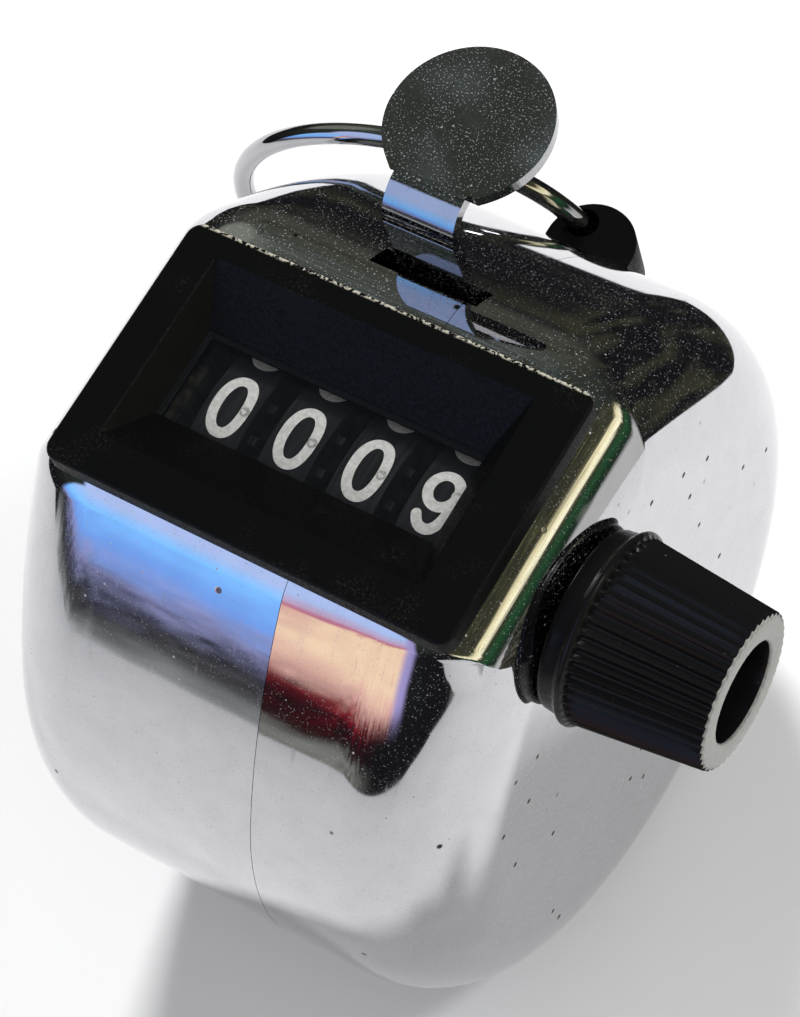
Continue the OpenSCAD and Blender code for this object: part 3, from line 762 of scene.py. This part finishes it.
def line(*corners):
    """A line through corners, cut into short steps so that it can follow the rim."""
    points = [corners[0]]
    for (x0, y0), (x1, y1) in zip(corners, corners[1:]):
        steps = max(2, round(math.hypot(x1 - x0, y1 - y0) / 0.25))
        points += [(x0 + (x1 - x0) * i / steps, y0 + (y1 - y0) * i / steps) for i in range(1, steps + 1)]
    return points


NINE = [arc(0, 0.78, 0.98, 1.12, 0, 360, 36), arc(-0.02, 0, 1.0, 1.9, 24, -142, 36, power=0.9)]
STROKES = [
    [arc(0, 0, 1.0, 1.9, 0, 360, 48, power=0.88)],
    [line((-0.75, 1.15), (-0.1, 1.4), (0.25, 1.9), (0.25, -1.9))],
    [arc(0, 0.9, 0.95, 1.0, 165, -35) + line((0.78, 0.32), (-0.95, -1.9), (1.0, -1.9))],
    [arc(0, 0.95, 0.9, 0.95, 155, -90), arc(0, -0.95, 1.0, 0.95, 90, -155)],
    [line((0.5, -1.9), (0.5, 1.9), (-1.05, -0.85), (1.1, -0.85))],
    [line((0.9, 1.9), (-0.7, 1.9), (-0.9, 0.1)), arc(0, -0.7, 1.0, 1.2, 140, -150)],
    [[(-x, -y) for x, y in stroke] for stroke in NINE],
    [line((-1.0, 1.9), (1.0, 1.9), (-0.3, -1.9))],
    [arc(0, 0.97, 0.85, 0.93, 0, 360), arc(0, -0.93, 1.0, 0.97, 0, 360)],
    NINE,
]


def numerals(name, x_mid, shown):
    """The ten numerals of one wheel as thin raised ink on its rim, with shown facing up."""
    half_stroke, height, size_share = 0.325, 0.03, 0.94
    turns = [math.pi * 2 * i / 20 for i in range(20)]
    round_end = [(half_stroke * math.cos(a), half_stroke * math.sin(a)) for a in turns]
    verts, faces = [], []

    def put(u, v, turn, lift=0.0):
        angle = turn + v / RIM_R
        r = RIM_R + height + lift
        verts.append((x_mid + u, SHAFT[0] + r * math.sin(angle), SHAFT[1] + r * math.cos(angle)))
        return len(verts) - 1

    for step in range(10):
        turn = -math.radians(36 * step)
        for points in STROKES[(shown + step) % 10]:
            previous = None
            for k, (u, v) in enumerate(points):
                before, after = points[max(k - 1, 0)], points[min(k + 1, len(points) - 1)]
                du, dv = after[0] - before[0], after[1] - before[1]
                size = math.hypot(du, dv) or 1.0
                u, v = u * size_share, v * size_share
                nu, nv = -dv / size * half_stroke, du / size * half_stroke
                pair = (put(u + nu, v + nv, turn), put(u - nu, v - nv, turn))
                if previous:
                    faces.append((previous[0], previous[1], pair[1], pair[0]))
                previous = pair
            for u, v in (points[0], points[-1]):
                u, v = u * size_share, v * size_share
                faces.append(tuple(put(u + du, v + dv, turn, 0.002) for du, dv in round_end))
    return new_piece(name, verts, faces)


for index, (place_name, shown) in enumerate((("units", 9), ("tens", 0), ("hundreds", 0), ("thousands", 0))):
    printed = numerals(f"numerals_{place_name}", UNITS_X - index * WHEEL_PITCH, shown)
    finish_piece(printed, INK, place_name, slot="black_wheel_plastic")

# ---------- finishes of the CAD pieces that are shown as they are ----------
slot_of = {entry["node"]: entry["material_slot"] for entry in frame["record"]["subparts"]}
for node_name, node in NODES.items():
    node.data.materials.clear()
    node.data.materials.append(FINISHES[slot_of[node_name]])
add_bevel(NODES["ring_lug"], 0.5, segments=3, degrees=30, weld=True)

# ---------- floor, camera and light ----------
NEAR_CORNERS = [(-250, -300, 0), (250, -300, 0), (250, -10, 0), (-250, 135, 0)]
FAR, FAR_Z = 1500, -0.02
FAR_CORNERS = [(-FAR, -FAR, FAR_Z), (FAR, -FAR, FAR_Z), (FAR, FAR, FAR_Z), (-FAR, FAR, FAR_Z)]
floor_near = new_piece("floor_near", NEAR_CORNERS, [(0, 1, 2, 3)])
floor_far = new_piece("floor_far", FAR_CORNERS, [(0, 1, 2, 3)])
floor_far.visible_glossy = False  # only the floor close by shows in the chrome
for part in (floor_near, floor_far):
    part.data.materials.append(pale_floor("floor_pale"))

camera_data = bpy.data.cameras.new("camera")
camera = bpy.data.objects.new("camera", camera_data)
bpy.context.scene.collection.objects.link(camera)
bpy.context.scene.camera = camera
camera_data.sensor_width = 36
camera_data.lens = 109.1
camera_data.clip_start, camera_data.clip_end = 0.01, 10
CAMERA_AT = Vector((73.26, -52.91, 202.96))
RIGHT, UP, BACK = (0.8391, 0.5071, -0.1969), (-0.393, 0.8154, 0.4251), (0.3761, -0.2794, 0.8835)
camera.matrix_world = Matrix.Translation(CAMERA_AT * MM) @ Matrix((RIGHT, UP, BACK)).transposed().to_4x4()


def area_light(name, direction, distance, size, power, in_reflections=True):
    """A square soft light that looks at the middle of the counter."""
    data = bpy.data.lights.new(name, "AREA")
    data.size = size
    data.energy = power
    light = bpy.data.objects.new(name, data)
    bpy.context.scene.collection.objects.link(light)
    way = Vector(direction).normalized()
    light.location = Vector((0, 0, 0.025)) + way * distance
    light.rotation_euler = way.to_track_quat("Z", "Y").to_euler()
    light.visible_glossy = in_reflections


area_light("key", (-0.42, 0.66, 0.85), 0.7, 0.12, 4.4, in_reflections=False)
area_light("fill", (0.35, -0.4, 1.0), 0.8, 1.1, 3.3, in_reflections=False)
area_light("knob_glint", (0.55, 0.35, 0.75), 0.6, 0.08, 0.8)


def studio_world():
    """What the chrome mirrors: dark above, sky blue and warm towards the front, green and cream to the right.
    The camera sees plain pale instead, and diffuse surfaces get a dim neutral light."""
    world = bpy.data.worlds.new("studio")
    bpy.context.scene.world = world
    world.use_nodes = True
    tree = world.node_tree
    tree.nodes.clear()

    def node(kind, **settings):
        made = tree.nodes.new(kind)
        for key, value in settings.items():
            setattr(made, key, value)
        return made

    way = node("ShaderNodeTexCoord").outputs["Generated"]
    split = node("ShaderNodeSeparateXYZ")
    tree.links.new(way, split.inputs["Vector"])

    def fade(value, low, high):
        """0 where value is below low, 1 above high."""
        made = node("ShaderNodeMapRange", interpolation_type="SMOOTHSTEP")
        made.inputs["From Min"].default_value = low
        made.inputs["From Max"].default_value = high
        tree.links.new(value, made.inputs["Value"])
        return made.outputs["Result"]

    def lobe(direction, cos_edge, cos_core):
        """1 near a direction, fading to 0 at cos_edge."""
        dot = node("ShaderNodeVectorMath", operation="DOT_PRODUCT")
        tree.links.new(way, dot.inputs[0])
        dot.inputs[1].default_value = Vector(direction).normalized()
        return fade(dot.outputs["Value"], cos_edge, cos_core)

    def noise(scale, low, high, stretch=(1, 1, 1)):
        """Patches that go from 0 to 1 between the noise values low and high."""
        mapping = node("ShaderNodeMapping")
        mapping.inputs["Scale"].default_value = stretch
        tree.links.new(way, mapping.inputs["Vector"])
        texture = node("ShaderNodeTexNoise")
        texture.inputs["Scale"].default_value = scale
        texture.inputs["Detail"].default_value = 6
        tree.links.new(mapping.outputs["Vector"], texture.inputs["Vector"])
        return fade(texture.outputs["Fac"], low, high)

    def times(a, b):
        made = node("ShaderNodeMath", operation="MULTIPLY")
        tree.links.new(a, made.inputs[0])
        tree.links.new(b, made.inputs[1])
        return made.outputs["Value"]

    def over(factor, below, colour):
        """colour laid over below, as far as factor says."""
        made = node("ShaderNodeMix", data_type="RGBA")
        tree.links.new(factor, made.inputs["Factor"])
        for socket, value in zip((s for s in made.inputs if s.type == "RGBA"), (below, colour)):
            if isinstance(value, tuple):
                socket.default_value = (*value, 1)
            else:
                tree.links.new(value, socket)
        return [s for s in made.outputs if s.type == "RGBA"][0]

    # the height above the horizon, made uneven so that the bands get ragged edges
    ragged = node("ShaderNodeMath", operation="MULTIPLY_ADD")
    tree.links.new(noise(22, 0.3, 0.7, (2.0, 1.0, 1.0)), ragged.inputs[0])
    ragged.inputs[1].default_value = 0.05
    tree.links.new(split.outputs["Z"], ragged.inputs[2])

    def height_bands(*stops):
        """Colours by height above the horizon: each stop is (sine of the height, colour), lowest first."""
        ramp = node("ShaderNodeValToRGB")
        lift = node("ShaderNodeMapRange")
        lift.inputs["From Min"].default_value = -1
        tree.links.new(ragged.outputs["Value"], lift.inputs["Value"])
        tree.links.new(lift.outputs["Result"], ramp.inputs["Fac"])
        elements = ramp.color_ramp.elements
        while len(elements) < len(stops):
            elements.new(0.5)
        for element, (z, colour) in zip(elements, stops):
            element.position = (z + 1) / 2
            element.color = (*colour, 1)
        return ramp.outputs["Color"]

    dark, green_grey = (0.012, 0.012, 0.014), (0.045, 0.055, 0.045)
    colour = over(lobe((0, 0, 1), -0.1, 0.7), dark, green_grey)
    colour = over(lobe((-0.35, 0.80, 0.45), 0.70, 0.95), colour, (0.085, 0.09, 0.07))
    back = fade(split.outputs["Y"], -0.05, 0.15)
    colour = over(times(noise(7, 0.45, 0.70, (1.0, 0.5, 1.0)), back), colour, (0.055, 0.055, 0.035))
    glints = times(noise(60, 0.50, 0.64), lobe((-0.376, 0.279, 0.88), 0.80, 0.95))
    colour = over(glints, colour, (0.20, 0.24, 0.24))
    colour = over(lobe((-0.75, 0.35, 0.6), 0.92, 0.97), colour, (0.30, 0.32, 0.27))
    cool = height_bands(
        (-0.13, (0.80, 0.81, 0.83)),
        (-0.09, (0.42, 0.43, 0.43)),
        (-0.05, (0.22, 0.23, 0.23)),
        (-0.01, (0.10, 0.10, 0.11)),
        (0.04, (0.24, 0.25, 0.40)),
        (0.09, (0.55, 0.58, 1.05)),
        (0.15, (0.30, 0.62, 1.45)),
        (0.30, (0.40, 1.00, 1.90)),
        (0.60, (0.70, 0.95, 1.50)),
    )
    warm = height_bands(
        (-0.14, (0.03, 0.03, 0.03)),
        (-0.08, (0.35, 0.36, 0.32)),
        (-0.03, (0.03, 0.012, 0.012)),
        (0.02, (0.10, 0.008, 0.015)),
        (0.05, (0.50, 0.02, 0.04)),
        (0.09, (1.30, 0.70, 0.62)),
        (0.20, (1.60, 1.20, 0.80)),
        (0.28, (0.85, 0.25, 0.38)),
        (0.36, (0.90, 0.60, 0.85)),
        (0.60, (0.70, 0.95, 1.50)),
    )
    # cool to the left and warm to the right of a slightly leaning line, which shows at the seam
    leaning = node("ShaderNodeVectorMath", operation="DOT_PRODUCT")
    tree.links.new(way, leaning.inputs[0])
    leaning.inputs[1].default_value = (1, 0, 0.04)
    front = over(fade(leaning.outputs["Value"], -0.369, -0.365), cool, warm)
    front = over(fade(split.outputs["X"], 0.12, 0.24), front, (0.60, 0.52, 1.0))
    low_right = times(fade(split.outputs["X"], -0.30, 0.10), fade(split.outputs["Z"], 0.10, 0.0))
    front = over(low_right, front, dark)
    grain = times(noise(60, 0.44, 0.58, (8.0, 2.0, 1.0)), fade(split.outputs["Z"], 0.13, 0.02))
    front = over(times(grain, fade(split.outputs["Z"], -0.10, -0.02)), front, dark)
    ahead = times(lobe((-0.25, -0.97, 0.10), 0.70, 0.76), fade(split.outputs["X"], 0.34, 0.26))
    colour = over(ahead, colour, front)
    colour = over(lobe((-0.376, -0.52, 0.77), 0.945, 0.975), colour, (0.75, 0.95, 1.5))
    side = height_bands(
        (-0.14, (0.75, 0.75, 0.72)),
        (-0.06, (0.02, 0.03, 0.02)),
        (0.06, (0.03, 0.13, 0.05)),
        (0.15, (0.05, 0.05, 0.03)),
        (0.20, (1.9, 1.8, 1.25)),
        (0.29, (1.5, 1.35, 0.80)),
        (0.34, (0.05, 0.05, 0.035)),
        (0.60, (0.03, 0.035, 0.025)),
    )
    side = over(times(noise(90, 0.54, 0.66), fade(split.outputs["Z"], 0.10, 0.16)), side, (0.30, 0.28, 0.12))
    colour = over(fade(split.outputs["X"], 0.70, 0.82), colour, side)
    glow = node("ShaderNodeBackground")
    tree.links.new(colour, glow.inputs["Color"])
    plain = node("ShaderNodeBackground")
    plain.inputs["Color"].default_value = (0.93, 0.93, 0.93, 1)
    dim = node("ShaderNodeBackground")
    dim.inputs["Color"].default_value = (0.12, 0.12, 0.12, 1)
    path = node("ShaderNodeLightPath")
    shown = dim.outputs["Background"]
    for rays, background in (("Is Glossy Ray", glow), ("Is Camera Ray", plain)):
        choice = node("ShaderNodeMixShader")
        tree.links.new(path.outputs[rays], choice.inputs["Fac"])
        tree.links.new(shown, choice.inputs[1])
        tree.links.new(background.outputs["Background"], choice.inputs[2])
        shown = choice.outputs["Shader"]
    tree.links.new(shown, node("ShaderNodeOutputWorld").inputs["Surface"])


studio_world()
bpy.context.scene.view_settings.view_transform = "Standard"
